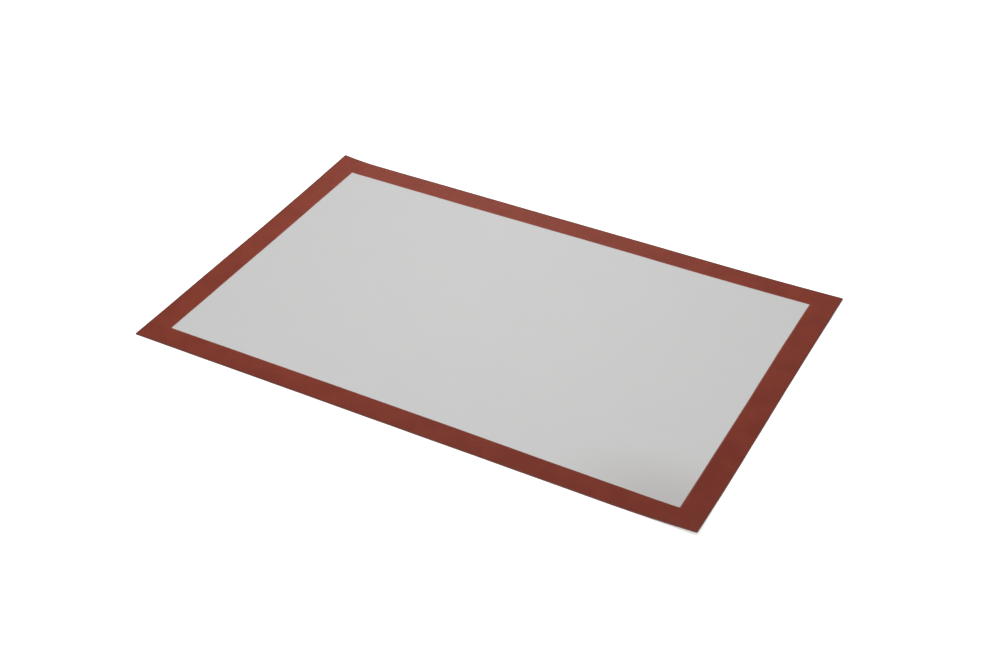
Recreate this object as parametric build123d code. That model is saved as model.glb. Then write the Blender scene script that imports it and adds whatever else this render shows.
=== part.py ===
from build123d import *
import os

# A silicone baking mat for a 600 by 400 mm baker's tray, lying flat with its working face up.
# It is a glass mesh between two coats of silicone, with a red border on both faces and a red bead
# that seals the cut edge. Lengths are in millimetres. X runs along the mat, Y across it and Z up.
# The origin is the middle of the underside.

# The whole mat
mat_length = 585.0
mat_width = 385.0
corner_radius = 1.5

# Silicone over the yarns on each face, and the film where the two coats meet
coat_cover = 0.20
bond_film = 0.01

# Glass yarns, each flat where it lies on the yarns that it crosses
yarn_pitch = 2.4
yarn_width = 0.50
yarn_crown_width = 0.30
yarn_thickness = 0.15

# Red border, which is let into each coat by its seat and stands proud by the rest
border_width = 25.0
border_thickness = 0.07
border_seat = 0.02
window_corner_radius = 1.0

# Bead round the cut edge
seal_width = 0.8
seal_rounding = 0.3
seal_rounding_most_share = 0.45

# The coated cloth, as it is cut to size before its edge is sealed
cloth_length = mat_length - 2 * seal_width
cloth_width = mat_width - 2 * seal_width

# The pale window inside the border
window_length = mat_length - 2 * border_width
window_width = mat_width - 2 * border_width

# Levels, from the underside of the back border up
back_level = border_thickness - border_seat
weft_crown_level = back_level + coat_cover
weft_level = weft_crown_level + yarn_thickness
warp_level = weft_level + bond_film
warp_crown_level = warp_level + yarn_thickness
face_level = warp_crown_level + coat_cover
face_seat_level = face_level - border_seat
top_level = face_seat_level + border_thickness


def yarn_places(span):
    """Centres of the parallel yarns, evenly spaced about the middle of a span."""
    count = int((span - yarn_width) / yarn_pitch)
    first = -yarn_pitch * (count - 1) / 2
    return [first + yarn_pitch * number for number in range(count)]


def yarn_section(centre, flat_level, crown_level):
    """Corners of one yarn's section, wide at its flat side and narrow at its crown."""
    return [
        (centre + yarn_width / 2, flat_level),
        (centre + yarn_crown_width / 2, crown_level),
        (centre - yarn_crown_width / 2, crown_level),
        (centre - yarn_width / 2, flat_level),
    ]


def drawn_out(plane, corners, length):
    """A straight bar whose section is the polygon on the plane, centred along the plane's normal."""
    start = plane.offset(-length / 2)
    section = make_face(Polyline(*corners, close=True))
    return extrude(start * section, amount=length, dir=plane.z_dir)


def yarns(plane, span, length, flat_level, crown_level):
    """Straight parallel yarns that fill a span."""
    yarn = drawn_out(plane, yarn_section(0, flat_level, crown_level), length)
    return Compound([Location(plane.x_dir * place) * yarn for place in yarn_places(span)])


def grooved_coat(plane, span, length, outer_level, flat_level, crown_level):
    """A flat coat of silicone with a groove for each yarn, open where the yarn's flat side is."""
    outline = [
        (-span / 2, flat_level),
        (-span / 2, outer_level),
        (span / 2, outer_level),
        (span / 2, flat_level),
    ]
    for place in reversed(yarn_places(span)):
        outline += yarn_section(place, flat_level, crown_level)
    return drawn_out(plane, outline, length)


def border_band(bottom):
    """The flat red frame from the window out to the cut edge."""
    window = RectangleRounded(window_length, window_width, window_corner_radius)
    frame = Rectangle(cloth_length, cloth_width) - window
    return Location((0, 0, bottom)) * extrude(frame, amount=border_thickness)


def border_back_band():
    """The border on the underside, on which the mat rests."""
    return border_band(0)


def border_face_band():
    """The border on the working face."""
    return border_band(face_seat_level)


def glass_weft():
    """The yarns across the mat, flat side up."""
    return yarns(Plane.XZ, cloth_length, cloth_width, weft_level, weft_crown_level)


def glass_warp():
    """The yarns along the mat, flat side down over the weft."""
    return yarns(Plane.YZ, cloth_width, cloth_length, warp_level, warp_crown_level)


def silicone_base_coat():
    """The lower coat, with the weft in its upper side and the border's seat below."""
    coat = grooved_coat(
        Plane.XZ, cloth_length, cloth_width, back_level, weft_level, weft_crown_level
    )
    return coat - border_back_band()


def silicone_face_coat():
    """The upper coat, with the warp in its lower side and the border's seat on top."""
    coat = grooved_coat(
        Plane.YZ, cloth_width, cloth_length, face_level, warp_level, warp_crown_level
    )
    return coat - border_face_band()


def edge_seal():
    """The bead round the cut edge, square against the cloth and rounded outside."""
    bead = extrude(RectangleRounded(mat_length, mat_width, corner_radius), amount=top_level)
    levels = bead.edges().group_by(Axis.Z)
    rounding = min(seal_rounding, seal_rounding_most_share * top_level)
    bead = fillet(levels[0] + levels[-1], radius=rounding)
    return bead - extrude(Rectangle(cloth_length, cloth_width), amount=top_level)


pieces = {
    "silicone_base_coat": silicone_base_coat(),
    "glass_weft": glass_weft(),
    "glass_warp": glass_warp(),
    "silicone_face_coat": silicone_face_coat(),
    "border_face_band": border_face_band(),
    "border_back_band": border_back_band(),
    "edge_seal": edge_seal(),
}

os.makedirs("parts", exist_ok=True)
for name, piece in pieces.items():
    export_step(piece, f"parts/{name}.step")
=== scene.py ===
import math

import bpy
import numpy as np
from mathutils import Matrix, Vector


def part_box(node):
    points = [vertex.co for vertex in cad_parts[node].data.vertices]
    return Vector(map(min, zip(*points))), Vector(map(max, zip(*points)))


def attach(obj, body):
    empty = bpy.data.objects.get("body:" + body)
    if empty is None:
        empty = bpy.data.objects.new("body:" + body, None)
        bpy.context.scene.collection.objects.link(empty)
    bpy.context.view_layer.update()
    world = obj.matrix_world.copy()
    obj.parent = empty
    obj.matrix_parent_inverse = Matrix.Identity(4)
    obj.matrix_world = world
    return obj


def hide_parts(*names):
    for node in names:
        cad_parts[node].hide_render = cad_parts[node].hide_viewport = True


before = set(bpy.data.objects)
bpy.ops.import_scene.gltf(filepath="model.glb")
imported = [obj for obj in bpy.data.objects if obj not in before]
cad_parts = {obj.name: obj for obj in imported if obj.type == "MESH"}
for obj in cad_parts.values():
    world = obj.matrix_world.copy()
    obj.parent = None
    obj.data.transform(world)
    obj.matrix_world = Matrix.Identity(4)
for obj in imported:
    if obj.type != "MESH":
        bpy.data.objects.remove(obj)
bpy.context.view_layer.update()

# The looks of a silicone baking mat that lies on a table, with three of its corners a little lifted.
# Lengths are in metres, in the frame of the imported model. Where a row of numbers is in millimetres, its
# comment says so.

MM = 0.001

# Sizes and levels of the flat mat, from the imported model
HALF_LENGTH, HALF_WIDTH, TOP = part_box("edge_seal")[1]
face_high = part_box("silicone_face_coat")[1]
base_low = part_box("silicone_base_coat")[0]
weft_low, weft_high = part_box("glass_weft")
warp_low, warp_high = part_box("glass_warp")
face_band_low, face_band_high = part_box("border_face_band")
back_band_low, back_band_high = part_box("border_back_band")
CUT_LENGTH, CUT_WIDTH = face_high.x, face_high.y
SEAL_WIDTH = HALF_LENGTH - CUT_LENGTH

# Sizes of the mat that no box gives
BORDER_WIDTH = 25 * MM
OUTER_RADIUS = 1.5 * MM
WINDOW_RADIUS = 1.0 * MM
CUT_RADIUS = 0.1 * MM
YARN_PITCH = 2.4 * MM
YARN_WIDTH = 0.5 * MM
YARN_CROWN = 0.3 * MM
WEAVE_PITCH = YARN_PITCH / 2

# A border is let into its coat up to the seat's end, and lies on the coat from there to its inner edge
SEAT_END = 23 * MM
SEAT_CLEARANCE = 0.05 * MM
SEAT_WALL = 0.04 * MM

# How a border thins out on the coat: distances from its inner edge, and the share of its height there
LIP_DISTANCES = (0.60 * MM, 0.25 * MM, 0.05 * MM)
LIP_SHARES = (1.0, 0.8, 0.4)

# Width of the face border along each side, at the side's start, quarters and end, in millimetres and
# anticlockwise from the front side. The photograph shows it a little uneven.
FACE_BORDER_WIDTHS = (
    (24.8, 25.0, 24.9, 24.3, 23.8),
    (25.6, 25.5, 25.6, 26.3, 26.0),
    (25.3, 25.8, 25.8, 26.5, 26.2),
    (25.5, 25.8, 25.8, 25.6, 25.5),
)

# How much the inner edges and the outline waver beside that, and how many waves of three kinds go round.
# The shares of the three kinds, and the angles at which they start, are the same for all.
FACE_EDGE_WAVER = 0.15 * MM
FACE_EDGE_WAVES = (5, 13, 29)
BACK_EDGE_WAVER = 0.5 * MM
BACK_EDGE_WAVES = (4, 11, 31)
OUTLINE_WAVER = 0.12 * MM
OUTLINE_WAVES = (9, 23, 41)
WAVE_SHARES = (1.0, 0.7, 0.5)
WAVE_STARTS = (0, 2, 4)

# Radius of the bead's round shoulders, as a share of its height
SHOULDER_SHARE = 0.38

# How the mat lies: each lifted corner's direction, its rise, how far from it the bend begins on the edge
# along the length and on the edge along the width, and how far its cut strays outwards along each axis
LIFTED_CORNERS = (
    (-1, 1, 2.8 * MM, 45 * MM, 190 * MM, 0),
    (1, -1, 2.9 * MM, 85 * MM, 90 * MM, 0),
    (1, 1, 0.9 * MM, 130 * MM, 150 * MM, 1.1 * MM),
)
RIPPLE = 0.12 * MM
RIPPLE_LENGTH = 210 * MM
RIPPLE_WIDTH = 160 * MM
RIPPLE_START = 1

# How finely the pieces are divided: near the corners, which bend, and between them
BENT_WITHIN = 60 * MM
BENT_STEP = 5 * MM
FLAT_STEP = 15 * MM
CORNER_STEPS = 6
SHOULDER_STEPS = 5
BAND_STEPS = 8
SHARP_ANGLE = math.radians(35)

# Colours, as linear red, green and blue
PALE_BETWEEN_YARNS = (0.562, 0.562, 0.559)
PALE_OVER_YARN = (0.616, 0.616, 0.613)
PALE_CLOUD = (0.604, 0.604, 0.600)
PALE_SPECK = (0.700, 0.700, 0.690)
PALE_DARK_PATCH = (0.504, 0.487, 0.479)
# Thick red also carries painted shade to the front right, and thin red painted light to the back left
RED_THICK_AND_SHADED = (0.160, 0.0238, 0.0128)
RED_THIN_AND_LIT = (0.232, 0.038, 0.0185)
RED_LIP = (0.300, 0.120, 0.095)
RED_CUT = (0.110, 0.022, 0.012)
RED_BEAD = (0.160, 0.036, 0.024)
GLASS_FIBRE = (0.78, 0.79, 0.77)
GLASS_SHADE = (0.62, 0.63, 0.61)

# How silicone and glass bend light, and how strongly satin silicone and the smoother bead reflect it
SILICONE_IOR = 1.41
GLASS_IOR = 1.55
SATIN_GLOSS = 0.10
BEAD_GLOSS = 0.35

# How rough each surface is. Satin silicone goes from the first to the second, patch by patch.
PALE_ROUGHNESS = (0.42, 0.54)
RED_ROUGHNESS = (0.44, 0.56)
BEAD_ROUGHNESS = 0.42
GLASS_ROUGHNESS = 0.35
FLOOR_ROUGHNESS = 0.9

# Noise below the first and above the second is plain, and it changes smoothly between them
SOFT_PATCHES = (0.30, 0.70)
FIRM_PATCHES = (0.35, 0.65)

# Pale silicone: how far the mesh shows as bumps, its pores, patches of gloss and clouds
PALE_WEAVE_RISE = 0.04 * MM
PALE_PORE_SIZE = 0.35 * MM
PALE_PORE_RISE = 0.006 * MM
PALE_GLOSS_SIZE = 9 * MM
CLOUD_SIZE = 60 * MM
CLOUD_SHARE = 0.25

# Its specks: a pattern of cells with a random number each, which has to be high enough for a speck, and
# the speck's plain middle and soft edge as shares of a cell
SPECK_CELL = 42 * MM
SPECK_CHANCE_ABOVE = 0.72
SPECK_SIZE_SHARES = (0.008, 0.020)
SPECK_COLOUR_SHARE = 0.35

# Red silicone: how far the mesh shows as bumps, its pores and patches of gloss
RED_WEAVE_RISE = 0.025 * MM
RED_PORE_SIZE = 0.4 * MM
RED_PORE_RISE = 0.008 * MM
RED_GLOSS_SIZE = 6 * MM

# How thin and how lit it looks, as shares of the way from thick and shaded to thin and lit: everywhere,
# as painted light and shade from the middle to each edge, and as thinner print in patches and in streaks
THIN_SHARE = 0.27
PAINTED_LIGHT_SLOPE_SHARE = 0.25
THIN_PATCH_SIZE = 26 * MM
THIN_PATCH_SHARE = 0.30
THIN_STREAK_SIZE = 3 * MM
THIN_STREAK_SHARE = 0.15

# Its dark rim along the cut edge, and its pale lip, whose colour begins at a share of the way from the
# seat's end to the lip
RIM_WIDTH = 1.5 * MM
RIM_SHARE = 0.8
PALE_LIP_START_SHARE = 0.65
PALE_LIP_SHARE = 0.6

# The bead's lumps and its patches of colour, and the yarns' filaments
BEAD_LUMP_SIZE = 1.6 * MM
BEAD_LUMP_RISE = 0.03 * MM
BEAD_PATCH_SIZE = 8 * MM
FILAMENT_SIZE = 0.12 * MM
FILAMENT_RISE = 0.02 * MM
FILAMENT_STRETCH = 60

# A faint darker patch of the pale silicone by the front right corner of the window: its middle and its reach
DARK_PATCH_MIDDLE = (HALF_LENGTH - 30 * MM, 20 * MM - HALF_WIDTH, 0)
DARK_PATCH_REACH = (130 * MM, 80 * MM, 1)

# Camera, found from the mat's edges in the photograph
LENS_MM = 57.595
SENSOR_MM = 36.0
LENS_SHIFT = 0.0372
AIM = Vector((-13.58 * MM, -38.63 * MM, 0))
CAMERA_DISTANCE = 1.55612
CAMERA_AZIMUTH = math.radians(28.648)
CAMERA_ELEVATION = math.radians(36.674)

# Floor and daylight. Where the floor is seen it glows a little, which brings it from pale grey to white.
FLOOR_HALF = 6.0
FLOOR_LEVEL = -0.02 * MM
FLOOR_COLOUR = (0.9, 0.9, 0.9)
FLOOR_GLOW = 0.52
WHITE = (1.0, 1.0, 1.0)
DAYLIGHT = 0.60

# Square soft lamps: name, place, the point that it faces, side and power in watts
SOFT_LAMPS = (
    ("key_softbox", (-0.04, -0.03, 1.05), (-0.04, -0.03, 0.0), 0.5, 4.2),
    ("far_softbox", (-0.55, 1.20, 0.55), (0.0, 0.1, 0.0), 0.6, 2.8),
)


def lie(x, y, height):
    """Where points of the flat mat lie on the table.

    A point is its place on the mat and its height above the underside. Each lifted corner bends up from a
    straight fold line between its two edges. With t = 1 - (distance from the corner along X / reach along X)
    - (the same along Y), and no less than 0, the rise is lift * t^2 and the slope 2 * lift * t / reach along
    each axis. Along each axis the bend draws the point in by 2/3 * lift^2 * t^3 / reach, and the stray cut
    takes it out by stray * t^2. Over all of it runs a ripple of half its size * (1 + sin along X * sin along
    Y). The point then stands off the bent underside by its height, along the normal.
    """
    wave_x = 2 * math.pi * x / RIPPLE_LENGTH
    wave_y = 2 * math.pi * y / RIPPLE_WIDTH + RIPPLE_START
    rise = RIPPLE * (1 + np.sin(wave_x) * np.sin(wave_y)) / 2
    slope_x = RIPPLE * math.pi / RIPPLE_LENGTH * np.cos(wave_x) * np.sin(wave_y)
    slope_y = RIPPLE * math.pi / RIPPLE_WIDTH * np.sin(wave_x) * np.cos(wave_y)
    laid_x, laid_y = x.copy(), y.copy()
    for side_x, side_y, lift, reach_x, reach_y, stray in LIFTED_CORNERS:
        t = 1 - (HALF_LENGTH - side_x * x) / reach_x - (HALF_WIDTH - side_y * y) / reach_y
        t = np.clip(t, 0, None)
        rise = rise + lift * t**2
        slope_x = slope_x + side_x * 2 * lift * t / reach_x
        slope_y = slope_y + side_y * 2 * lift * t / reach_y
        drawn_in = 2 / 3 * lift**2 * t**3
        laid_x = laid_x + side_x * (stray * t**2 - drawn_in / reach_x)
        laid_y = laid_y + side_y * (stray * t**2 - drawn_in / reach_y)
    off = height / np.sqrt(1 + slope_x**2 + slope_y**2)
    return np.stack((laid_x - off * slope_x, laid_y - off * slope_y, rise + off), axis=-1)


def add_piece(name, points, faces, material, node):
    """Puts points and four-cornered faces into a mesh object that stands for a CAD node."""
    mesh = bpy.data.meshes.new(name)
    mesh.vertices.add(len(points))
    mesh.vertices.foreach_set("co", points.astype(np.float32).ravel())
    mesh.loops.add(faces.size)
    mesh.loops.foreach_set("vertex_index", faces.astype(np.int32).ravel())
    mesh.polygons.add(len(faces))
    mesh.polygons.foreach_set("loop_start", np.arange(0, faces.size, 4, dtype=np.int32))
    mesh.update(calc_edges=True)
    mesh.shade_smooth()
    mesh.set_sharp_from_angle(angle=SHARP_ANGLE)
    mesh.materials.append(material)
    piece = bpy.data.objects.new(name, mesh)
    bpy.context.scene.collection.objects.link(piece)
    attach(piece, "root")
    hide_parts(node)
    return piece


def add_values(piece, name, values):
    """Keeps a number for each point of a piece, which its material reads by name."""
    kept = piece.data.attributes.new(name, "FLOAT", "POINT")
    kept.data.foreach_set("value", values.astype(np.float32).ravel())


def stations(half):
    """Places along a side from -half to half.

    They are even steps, short ones near both ends, where the corners bend, and long ones between.
    """
    near = np.linspace(half - BENT_WITHIN, half, round(BENT_WITHIN / BENT_STEP) + 1)
    flat = half - BENT_WITHIN
    middle = np.linspace(-flat, flat, round(2 * flat / FLAT_STEP) + 1)[1:-1]
    return np.concatenate((-near[::-1], middle, near))


# Glass yarns


def yarn_centres(low, high):
    """Centres of the parallel yarns between the outer sides of the first and the last.

    They lie at pitch * (number - (count - 1) / 2), with the numbers from 0, and so evenly about 0.
    """
    count = round((high - low - YARN_WIDTH) / YARN_PITCH) + 1
    return (np.arange(count) - (count - 1) / 2) * YARN_PITCH


def yarn_corners(centres, flat, crown):
    """Places across and heights of each yarn's four corners: wide on its flat side, narrow on its crown."""
    across = np.array((-YARN_WIDTH, -YARN_CROWN, YARN_CROWN, YARN_WIDTH)) / 2
    heights = np.array((flat, crown, crown, flat))
    return centres[:, None] + across, np.broadcast_to(heights, (len(centres), 4))


def yarns(name, centres, flat, crown, along, across_x, material, node):
    """Straight parallel yarns as closed bars: each yarn's four corners carried along the stations.

    across_x says whether the yarns are spread along X and run along Y, or the other way round.
    """
    across, height = yarn_corners(centres, flat, crown)
    shape = (len(centres), len(along), 4)
    across = np.broadcast_to(across[:, None, :], shape)
    height = np.broadcast_to(height[:, None, :], shape)
    run = np.broadcast_to(along[None, :, None], shape)
    x, y = (across, run) if across_x else (run, across)
    number = np.arange(np.prod(shape)).reshape(shape)
    start, end = number[:, :-1], number[:, 1:]
    around = (start, end, np.roll(end, -1, axis=2), np.roll(start, -1, axis=2))
    sides = np.stack(around, axis=-1).reshape(-1, 4)
    faces = np.concatenate((sides, number[:, 0], number[:, -1, ::-1]))
    if across_x == (crown > flat):
        faces = faces[:, ::-1]
    points = lie(x, y, height).reshape(-1, 3)
    return add_piece(name, points, faces, material, node)


def make_weft(material, centres):
    """The yarns across the mat, flat side up."""
    along = stations(CUT_WIDTH)
    return yarns("weft_yarns", centres, weft_high.z, weft_low.z, along, True, material, "glass_weft")


def make_warp(material, centres):
    """The yarns along the mat, flat side down on the weft."""
    along = stations(CUT_LENGTH)
    return yarns("warp_yarns", centres, warp_low.z, warp_high.z, along, False, material, "glass_warp")


# Coats of silicone, with a groove for each yarn


def grid_faces(rows, columns):
    """Faces of a grid whose points are numbered row by row.

    They face up where the columns run along +X and the rows along +Y.
    """
    corner = np.arange(rows - 1)[:, None] * columns + np.arange(columns - 1)
    around = (corner, corner + 1, corner + columns + 1, corner + columns)
    return np.stack(around, axis=-1).reshape(-1, 4)


def rim_of(rows, columns):
    """Numbers of a grid's outermost points, anticlockwise seen from above."""
    grid = np.arange(rows * columns).reshape(rows, columns)
    return np.concatenate((grid[0, :-1], grid[:-1, -1], grid[-1, :0:-1], grid[:0:-1, 0]))


def coat(name, x, y, lower, upper, material, node):
    """A closed sheet of silicone between two height fields over one grid, with a wall round its rim.

    Its points are where the grid's places lie at the upper heights, and then the same at the lower ones.
    """
    grid_x, grid_y = np.meshgrid(x, y)
    above = lie(grid_x, grid_y, upper).reshape(-1, 3)
    below = lie(grid_x, grid_y, lower).reshape(-1, 3)
    top = grid_faces(len(y), len(x))
    rim = rim_of(len(y), len(x))
    onward = np.roll(rim, -1)
    count = len(above)
    wall = np.stack((rim + count, onward + count, onward, rim), axis=-1)
    faces = np.concatenate((top, top[:, ::-1] + count, wall))
    return add_piece(name, np.concatenate((above, below)), faces, material, node)


def across_grooves(cut, half, centres):
    """Places across the grooves: the cut edges, the yarns' corners and the seat's steep walls."""
    corners = yarn_corners(centres, 0, 0)[0].ravel()
    return np.unique(np.concatenate(((-cut, cut), corners, seat_walls(half))))


def along_grooves(cut, half):
    """Places along the grooves: the stations and the seat's steep walls."""
    return np.unique(np.concatenate((stations(cut), seat_walls(half))))


def seat_walls(half):
    """Places before and behind the wall where the border's seat ends, on both sides of the mat."""
    wall = half - SEAT_END + np.array((-SEAT_WALL, SEAT_WALL)) / 2
    return np.concatenate((-wall[::-1], wall))


def window_or_seat(x, y, window, seat):
    """Heights of a coat's outer side on a grid: one level in the window, and another on the seat."""
    grid_x, grid_y = np.meshgrid(x, y)
    inside = (np.abs(grid_x) < HALF_LENGTH - SEAT_END) & (np.abs(grid_y) < HALF_WIDTH - SEAT_END)
    return np.where(inside, window, seat)


def groove_heights(places, centres, flat, crown):
    """Heights of a coat's grooved side at places across the yarns: straight from corner to corner."""
    across, heights = yarn_corners(centres, flat, crown)
    return np.interp(places, across.ravel(), heights.ravel())


def make_base_coat(material, centres):
    """The lower coat, with the weft's grooves in its upper side."""
    x = across_grooves(CUT_LENGTH, HALF_LENGTH, centres)
    y = along_grooves(CUT_WIDTH, HALF_WIDTH)
    lower = window_or_seat(x, y, base_low.z, back_band_high.z)
    upper = np.broadcast_to(groove_heights(x, centres, weft_high.z, weft_low.z), lower.shape)
    return coat("silicone_base", x, y, lower, upper, material, "silicone_base_coat")


def make_face_coat(material, centres):
    """The upper coat, with the warp's grooves in its lower side."""
    x = along_grooves(CUT_LENGTH, HALF_LENGTH)
    y = across_grooves(CUT_WIDTH, HALF_WIDTH, centres)
    upper = window_or_seat(x, y, face_high.z, face_band_low.z)
    grooved = groove_heights(y, centres, warp_low.z, warp_high.z)
    lower = np.broadcast_to(grooved[:, None], upper.shape)
    return coat("silicone_face", x, y, lower, upper, material, "silicone_face_coat")


# Borders and bead, which are sections carried round the mat


def way_round():
    """The way round the mat, anticlockwise: side after side with an arc at each corner.

    A station has a multiplier for the straight part of the half length and half width, and one for the
    corner radius. Both are worked out as complex numbers, with X as the real part and Y as the imaginary
    one, so that a quarter turn multiplies them by i. On the front side the first runs from -1 - i to 1 - i
    and the second is -i; on the arc after it the first stays and the second goes round from -i to 1.
    """
    turn = np.linspace(-math.pi / 2, 0, CORNER_STEPS + 1)[1:-1]
    sides = []
    for quarter, half in enumerate((HALF_LENGTH, HALF_WIDTH, HALF_LENGTH, HALF_WIDTH)):
        side = stations(half) / half
        straight = np.concatenate((side, np.ones(len(turn)))) - 1j
        rounded = np.concatenate((np.full(len(side), -1j), np.exp(1j * turn)))
        sides.append(np.stack((straight, rounded)) * 1j**quarter)
    straight, rounded = np.concatenate(sides, axis=1)
    return straight.real, straight.imag, rounded.real, rounded.imag


def waver(way, size, waves):
    """A slow waver of the given size round the mat, which closes on itself after one turn.

    It is size * (the sum of share * sin(waves * angle + start)) / (the sum of the shares), where the angle
    goes once round as the way goes along the outline.
    """
    x, y = way[0] * HALF_LENGTH, way[1] * HALF_WIDTH
    step = np.hypot(np.diff(x, append=x[:1]), np.diff(y, append=y[:1]))
    angle = 2 * math.pi * (np.cumsum(step) - step) / step.sum()
    kinds = zip(WAVE_SHARES, waves, WAVE_STARTS)
    wave = sum(share * np.sin(count * angle + start) for share, count, start in kinds)
    return size * wave / sum(WAVE_SHARES)


def stray_of(way, widths):
    """How far a border's inner edge stands outwards of its even width, along X and along Y.

    A side's width changes evenly between its start, quarters and end. Along X it is the right side's stray
    at the right and the left side's at the left, mixed evenly in between, and along Y the back's and the
    front's.
    """
    front, right, back, left = BORDER_WIDTH - np.array(widths) * MM
    quarters = np.linspace(-1, 1, len(front))
    front_out = np.interp(way[0], quarters, front)
    right_out = np.interp(way[1], quarters, right)
    back_out = np.interp(-way[0], quarters, back)
    left_out = np.interp(-way[1], quarters, left)
    rightness, backness = (1 + way[0]) / 2, (1 + way[1]) / 2
    stray_x = rightness * right_out + (1 - rightness) * left_out
    stray_y = backness * back_out + (1 - backness) * front_out
    return np.stack((stray_x, stray_y))


def ring(name, section, stray, material, node):
    """A closed section carried round the mat.

    A row of the section is a distance in from the mat's outline, a height, a corner radius and the share
    of the stray that moves the point outwards. The rows go anticlockwise with the outside on the right.
    Along each axis a point lies at straight * (half - inset + share * stray - radius) + rounded * radius,
    with the two multipliers of the way round. The piece keeps each point's distance in as inset, and its
    share as lip.
    """
    inset, height, radius, share = (np.array(column)[:, None] for column in zip(*section))
    way = way_round()
    stray_x, stray_y = np.broadcast_to(stray, (2, len(way[0])))
    x = way[0] * (HALF_LENGTH - inset + share * stray_x - radius) + way[2] * radius
    y = way[1] * (HALF_WIDTH - inset + share * stray_y - radius) + way[3] * radius
    points = lie(x, y, np.broadcast_to(height, x.shape)).reshape(-1, 3)
    number = np.arange(x.size).reshape(x.shape)
    up, on = np.roll(number, -1, axis=0), np.roll(number, -1, axis=1)
    faces = np.stack((number, on, np.roll(up, -1, axis=1), up), axis=-1).reshape(-1, 4)
    piece = add_piece(name, points, faces, material, node)
    add_values(piece, "inset", np.broadcast_to(inset, x.shape))
    add_values(piece, "lip", np.broadcast_to(share, x.shape))
    return piece


def border_section(seat, face, top):
    """A border's section: square at the cut edge, seated in the coat, with a lip that thins out on it.

    Between the cut edge and the seat's end, both flats are divided evenly.
    """
    insets = np.linspace(SEAL_WIDTH, SEAT_END - SEAT_CLEARANCE, BAND_STEPS + 1)
    radii = np.linspace(CUT_RADIUS, WINDOW_RADIUS, BAND_STEPS + 1)
    lip = [
        (BORDER_WIDTH - distance, face + share * (top - face), WINDOW_RADIUS, 1)
        for distance, share in zip(LIP_DISTANCES, LIP_SHARES)
    ]
    return [
        (BORDER_WIDTH, face, WINDOW_RADIUS, 1),
        (SEAT_END, face, WINDOW_RADIUS, 0),
        *((inset, seat, radius, 0) for inset, radius in zip(insets[::-1], radii[::-1])),
        *((inset, top, radius, 0) for inset, radius in zip(insets, radii)),
        *lip,
    ]


def bead_section():
    """The bead's section: flat against the cut edge, with two round shoulders outside.

    A shoulder turns through a right angle. At a turn a its distance in from the outline is
    rounding * (1 - sin a), and its distance from the bead's underside or top is rounding * (1 - cos a).
    """
    rounding = SHOULDER_SHARE * TOP
    turn = np.linspace(0, math.pi / 2, SHOULDER_STEPS + 1)
    inset = rounding * (1 - np.sin(turn))
    depth = rounding * (1 - np.cos(turn))
    insets = np.concatenate((inset, inset[::-1]))
    heights = np.concatenate((depth, TOP - depth[::-1]))
    return [
        (SEAL_WIDTH, 0, CUT_RADIUS, 0),
        *((inset, height, OUTER_RADIUS, 1) for inset, height in zip(insets, heights)),
        (SEAL_WIDTH, TOP, CUT_RADIUS, 0),
    ]


def make_face_border(material):
    """The border on the working face, as uneven as the photograph shows it."""
    section = border_section(face_band_low.z, face_high.z, face_band_high.z)
    way = way_round()
    stray = stray_of(way, FACE_BORDER_WIDTHS) + waver(way, FACE_EDGE_WAVER, FACE_EDGE_WAVES)
    return ring("face_border", section, stray, material, "border_face_band")


def make_back_border(material):
    """The border on the underside: the same section upside down."""
    section = border_section(back_band_high.z, base_low.z, back_band_low.z)[::-1]
    stray = waver(way_round(), BACK_EDGE_WAVER, BACK_EDGE_WAVES)
    return ring("back_border", section, stray, material, "border_back_band")


def make_edge_bead(material):
    """The bead round the cut edge, which wavers a little as a laid bead does."""
    stray = waver(way_round(), OUTLINE_WAVER, OUTLINE_WAVES)
    return ring("edge_bead", bead_section(), stray, material, "edge_seal")


# Materials


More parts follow.
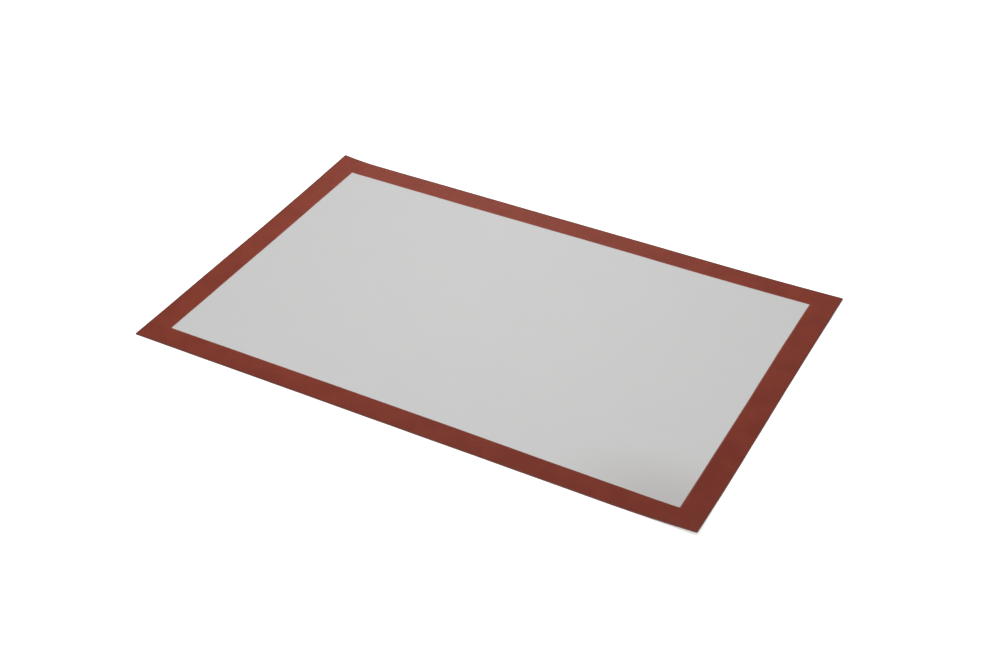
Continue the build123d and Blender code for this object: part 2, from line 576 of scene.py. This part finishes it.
class Finish:
    """The nodes of a material or of the world, with short calls to make them."""

    def __init__(self, owner, shader):
        owner.use_nodes = True
        self.owner = owner
        self.tree = owner.node_tree
        self.shader = self.tree.nodes[shader]

    def set(self, socket, value):
        """Gives an input a number, a colour, a vector or another node's output."""
        if isinstance(value, bpy.types.NodeSocket):
            self.tree.links.new(value, socket)
        elif socket.type == "RGBA":
            socket.default_value = (*value, 1)
        else:
            socket.default_value = value

    def node(self, kind, **settings):
        """A new node. A setting names an option of it, or an input with _ for each space."""
        node = self.tree.nodes.new(kind)
        for key, value in settings.items():
            if hasattr(node, key):
                setattr(node, key, value)
            else:
                self.set(node.inputs[key.replace("_", " ")], value)
        return node

    def math(self, operation, *values):
        """The result of one sum, product or function of numbers."""
        node = self.node("ShaderNodeMath", operation=operation)
        for socket, value in zip(node.inputs, values):
            self.set(socket, value)
        return node.outputs["Value"]

    def vector_math(self, operation, *values):
        """The outputs of one sum, product or length of vectors."""
        node = self.node("ShaderNodeVectorMath", operation=operation)
        for socket, value in zip(node.inputs, values):
            self.set(socket, value)
        return node.outputs

    def mix(self, share, first, second):
        """A colour that goes from the first to the second as the share goes from 0 to 1."""
        node = self.tree.nodes.new("ShaderNodeMix")
        node.data_type = "RGBA"
        self.set(node.inputs["Factor"], share)
        self.set(node.inputs["A"], first)
        self.set(node.inputs["B"], second)
        return node.outputs["Result"]

    def ramp(self, value, low, high):
        """0 below low, 1 above high, and smoothly from one to the other between them."""
        node = self.node("ShaderNodeMapRange", interpolation_type="SMOOTHSTEP", Value=value)
        self.set(node.inputs["From Min"], low)
        self.set(node.inputs["From Max"], high)
        return node.outputs["Result"]

    def between(self, share, low, high):
        """A number that goes from low to high as the share goes from 0 to 1."""
        return self.node("ShaderNodeMapRange", Value=share, To_Min=low, To_Max=high).outputs["Result"]

    def place(self):
        """The place on the object, in metres."""
        return self.node("ShaderNodeTexCoord").outputs["Object"]

    def along(self, axis):
        """The place along X, Y or Z, in metres."""
        return self.node("ShaderNodeSeparateXYZ", Vector=self.place()).outputs[axis]

    def kept(self, name):
        """The number that the piece keeps for each point under the name."""
        return self.node("ShaderNodeAttribute", attribute_name=name).outputs["Fac"]

    def noise(self, size, detail, stretch=(1, 1, 1)):
        """Noise whose lumps are about the given size in metres, drawn out along the axes by stretch."""
        scale = tuple(1 / (size * drawn_out) for drawn_out in stretch)
        place = self.node("ShaderNodeMapping", Vector=self.place(), Scale=scale).outputs["Vector"]
        return self.node("ShaderNodeTexNoise", Vector=place, Scale=1, Detail=detail).outputs[0]

    def weave(self):
        """Height of a plain weave under silicone, 0 to 1.

        With u and v the places along X and Y in half turns per pitch, a warp yarn's height is
        cos(v)^2 * (1 + cos(u) cos(v)) / 2 and a weft yarn's is cos(u)^2 * (1 - cos(u) cos(v)) / 2, so that
        they pass over and under each other. The higher of the two shows.
        """
        half_turns = math.pi / WEAVE_PITCH
        cos_u = self.math("COSINE", self.math("MULTIPLY", self.along("X"), half_turns))
        cos_v = self.math("COSINE", self.math("MULTIPLY", self.along("Y"), half_turns))
        over = self.math("MULTIPLY_ADD", self.math("MULTIPLY", cos_u, cos_v), 0.5, 0.5)
        under = self.math("SUBTRACT", 1, over)
        warp = self.math("MULTIPLY", self.math("MULTIPLY", cos_v, cos_v), over)
        weft = self.math("MULTIPLY", self.math("MULTIPLY", cos_u, cos_u), under)
        return self.math("MAXIMUM", warp, weft)

    def bump(self, height, size, over=None):
        """A surface raised by a height from 0 to 1 times a size in metres, over another such surface."""
        node = self.node("ShaderNodeBump", Distance=size, Height=height)
        if over is not None:
            self.set(node.inputs["Normal"], over)
        return node.outputs["Normal"]

    def seen(self):
        """1 for light that goes to the camera, straight or by a reflection or through glass, else 0."""
        rays = self.node("ShaderNodeLightPath").outputs
        by_way = self.math("MAXIMUM", rays["Is Glossy Ray"], rays["Is Transmission Ray"])
        return self.math("MAXIMUM", rays["Is Camera Ray"], by_way)

    def finish(self, **inputs):
        """Sets the shader's own inputs, with _ for each space, and gives the material or world."""
        for key, value in inputs.items():
            self.set(self.shader.inputs[key.replace("_", " ")], value)
        return self.owner


def new_finish(name):
    """The nodes of a new material."""
    return Finish(bpy.data.materials.new(name), "Principled BSDF")


def specks(made):
    """Share of a few small pale specks: the middles of some of the cells of a pattern."""
    cells = made.node("ShaderNodeTexVoronoi", Vector=made.place(), Scale=1 / SPECK_CELL).outputs
    middle = made.math("SUBTRACT", 1, made.ramp(cells["Distance"], *SPECK_SIZE_SHARES))
    chance = made.node("ShaderNodeSeparateColor", Color=cells["Color"]).outputs["Red"]
    chosen = made.math("GREATER_THAN", chance, SPECK_CHANCE_ABOVE)
    return made.math("MULTIPLY", made.math("MULTIPLY", middle, chosen), SPECK_COLOUR_SHARE)


def dark_patch(made):
    """Share of the darker patch: 1 at its middle, and smoothly down to 0 at its reach along each axis."""
    from_middle = made.vector_math("SUBTRACT", made.place(), DARK_PATCH_MIDDLE)["Vector"]
    in_reaches = made.vector_math("DIVIDE", from_middle, DARK_PATCH_REACH)["Vector"]
    distance = made.vector_math("LENGTH", in_reaches)["Value"]
    return made.math("SUBTRACT", 1, made.ramp(distance, 0, 1))


def pale_silicone():
    """Satin grey silicone: the mesh shows faintly through it, with slight clouds, specks and a darker patch
    by one corner.
    """
    made = new_finish("pale_silicone")
    weave = made.weave()
    clouds = made.ramp(made.noise(CLOUD_SIZE, detail=3), *SOFT_PATCHES)
    meshed = made.mix(weave, PALE_BETWEEN_YARNS, PALE_OVER_YARN)
    cloudy = made.mix(made.math("MULTIPLY", clouds, CLOUD_SHARE), meshed, PALE_CLOUD)
    specked = made.mix(specks(made), cloudy, PALE_SPECK)
    woven = made.bump(weave, PALE_WEAVE_RISE)
    return made.finish(
        Base_Color=made.mix(dark_patch(made), specked, PALE_DARK_PATCH),
        Roughness=made.between(made.noise(PALE_GLOSS_SIZE, detail=3), *PALE_ROUGHNESS),
        Normal=made.bump(made.noise(PALE_PORE_SIZE, detail=1), PALE_PORE_RISE, over=woven),
        IOR=SILICONE_IOR,
        Specular_IOR_Level=SATIN_GLOSS,
    )


def thinness_and_light(made):
    """How thin the red silicone looks, with its painted light and shade, from 0 to 1.

    It is the share everywhere + the slope's share * (Y / half width - X / half length), which is painted
    light towards the back left and painted shade towards the front right, and the shares of the patches
    and of the streaks of thinner print.
    """
    # Lighter towards the back left and darker towards the front right: painted light and shade
    to_back = made.math("MULTIPLY", made.along("Y"), PAINTED_LIGHT_SLOPE_SHARE / HALF_WIDTH)
    to_left = made.math("MULTIPLY", made.along("X"), -PAINTED_LIGHT_SLOPE_SHARE / HALF_LENGTH)
    slope = made.math("ADD", made.math("ADD", to_back, to_left), THIN_SHARE)
    patches = made.ramp(made.noise(THIN_PATCH_SIZE, detail=4), *FIRM_PATCHES)
    streaks = made.ramp(made.noise(THIN_STREAK_SIZE, detail=3), *FIRM_PATCHES)
    patched = made.math("MULTIPLY_ADD", patches, THIN_PATCH_SHARE, slope)
    return made.math("MULTIPLY_ADD", streaks, THIN_STREAK_SHARE, patched)


def red_silicone():
    """Brick-red silicone: painted shade darkens it towards the front right corner and painted light lightens
    it towards the back left; it is darker along the cut edge.

    It is a little uneven all over, and paler at its thin lip.
    """
    made = new_finish("red_silicone")
    body = made.mix(thinness_and_light(made), RED_THICK_AND_SHADED, RED_THIN_AND_LIT)
    off_cut = made.ramp(made.kept("inset"), SEAL_WIDTH, SEAL_WIDTH + RIM_WIDTH)
    rimmed = made.mix(made.between(off_cut, RIM_SHARE, 0), body, RED_CUT)
    lip = made.math("MULTIPLY", made.ramp(made.kept("lip"), PALE_LIP_START_SHARE, 1), PALE_LIP_SHARE)
    woven = made.bump(made.weave(), RED_WEAVE_RISE)
    return made.finish(
        Base_Color=made.mix(lip, rimmed, RED_LIP),
        Roughness=made.between(made.noise(RED_GLOSS_SIZE, detail=3), *RED_ROUGHNESS),
        Normal=made.bump(made.noise(RED_PORE_SIZE, detail=1), RED_PORE_RISE, over=woven),
        IOR=SILICONE_IOR,
        Specular_IOR_Level=SATIN_GLOSS,
    )


def seal_silicone():
    """The darker red bead: glossier than the border, with small lumps from being laid by hand."""
    made = new_finish("seal_silicone")
    uneven = made.ramp(made.noise(BEAD_PATCH_SIZE, detail=3), *SOFT_PATCHES)
    return made.finish(
        Base_Color=made.mix(uneven, RED_CUT, RED_BEAD),
        Roughness=BEAD_ROUGHNESS,
        Normal=made.bump(made.noise(BEAD_LUMP_SIZE, detail=2), BEAD_LUMP_RISE),
        IOR=SILICONE_IOR,
        Specular_IOR_Level=BEAD_GLOSS,
    )


def glass_fibre(name, stretch):
    """White glass yarn with fine streaks along its filaments."""
    made = new_finish(name)
    filaments = made.noise(FILAMENT_SIZE, detail=2, stretch=stretch)
    return made.finish(
        Base_Color=made.mix(filaments, GLASS_SHADE, GLASS_FIBRE),
        Roughness=GLASS_ROUGHNESS,
        Normal=made.bump(filaments, FILAMENT_RISE),
        IOR=GLASS_IOR,
    )


def white_floor():
    """Plain white floor, which keeps shadows."""
    made = new_finish("white_floor")
    return made.finish(
        Base_Color=FLOOR_COLOUR,
        Roughness=FLOOR_ROUGHNESS,
        Specular_IOR_Level=0,
        Emission_Color=WHITE,
        Emission_Strength=made.math("MULTIPLY", made.seen(), FLOOR_GLOW),
    )


# Floor, light and camera


def make_floor():
    """A flat floor just under the mat."""
    corners = ((-1, -1), (1, -1), (1, 1), (-1, 1))
    points = [(x * FLOOR_HALF, y * FLOOR_HALF, FLOOR_LEVEL) for x, y in corners]
    mesh = bpy.data.meshes.new("floor")
    mesh.from_pydata(points, [], [(0, 1, 2, 3)])
    mesh.materials.append(white_floor())
    floor = bpy.data.objects.new("floor", mesh)
    bpy.context.scene.collection.objects.link(floor)


def make_daylight():
    """Even white light from all round, which is plain white where it is seen."""
    made = Finish(bpy.data.worlds.new("daylight"), "Background")
    strength = made.between(made.seen(), DAYLIGHT, 1)
    bpy.context.scene.world = made.finish(Color=WHITE, Strength=strength)


def make_soft_lamp(name, place, aim, side, power):
    """A square soft lamp that faces a point of the mat."""
    light = bpy.data.lights.new(name, "AREA")
    light.size = side
    light.energy = power
    lamp = bpy.data.objects.new(name, light)
    lamp.location = place
    lamp.rotation_euler = (Vector(place) - Vector(aim)).to_track_quat("Z", "Y").to_euler()
    bpy.context.scene.collection.objects.link(lamp)


def make_camera():
    """The camera at the photograph's place, turned and drawn back from the point that it aims at."""
    data = bpy.data.cameras.new("camera")
    data.lens = LENS_MM
    data.sensor_width = SENSOR_MM
    data.shift_x = LENS_SHIFT
    camera = bpy.data.objects.new("camera", data)
    turned = Matrix.Rotation(CAMERA_AZIMUTH, 4, "Z")
    tilted = Matrix.Rotation(math.pi / 2 - CAMERA_ELEVATION, 4, "X")
    drawn_back = Matrix.Translation((0, 0, CAMERA_DISTANCE))
    camera.matrix_world = Matrix.Translation(AIM) @ turned @ tilted @ drawn_back
    bpy.context.scene.collection.objects.link(camera)
    bpy.context.scene.camera = camera


make_camera()

# The glass mesh, and the two coats that hold it
weft_centres = yarn_centres(weft_low.x, weft_high.x)
warp_centres = yarn_centres(warp_low.y, warp_high.y)
make_weft(glass_fibre("glass_fibre_across", stretch=(1, FILAMENT_STRETCH, 1)), weft_centres)
warp = make_warp(glass_fibre("glass_fibre_along", stretch=(FILAMENT_STRETCH, 1, 1)), warp_centres)
pale = pale_silicone()
base_coat = make_base_coat(pale, weft_centres)
face_coat = make_face_coat(pale, warp_centres)

# The border on both faces, and the bead round the edge
red = red_silicone()
face_border = make_face_border(red)
back_border = make_back_border(red)
edge_bead = make_edge_bead(seal_silicone())

make_floor()
make_daylight()
for lamp in SOFT_LAMPS:
    make_soft_lamp(*lamp)
bpy.context.scene.view_settings.view_transform = "Standard"
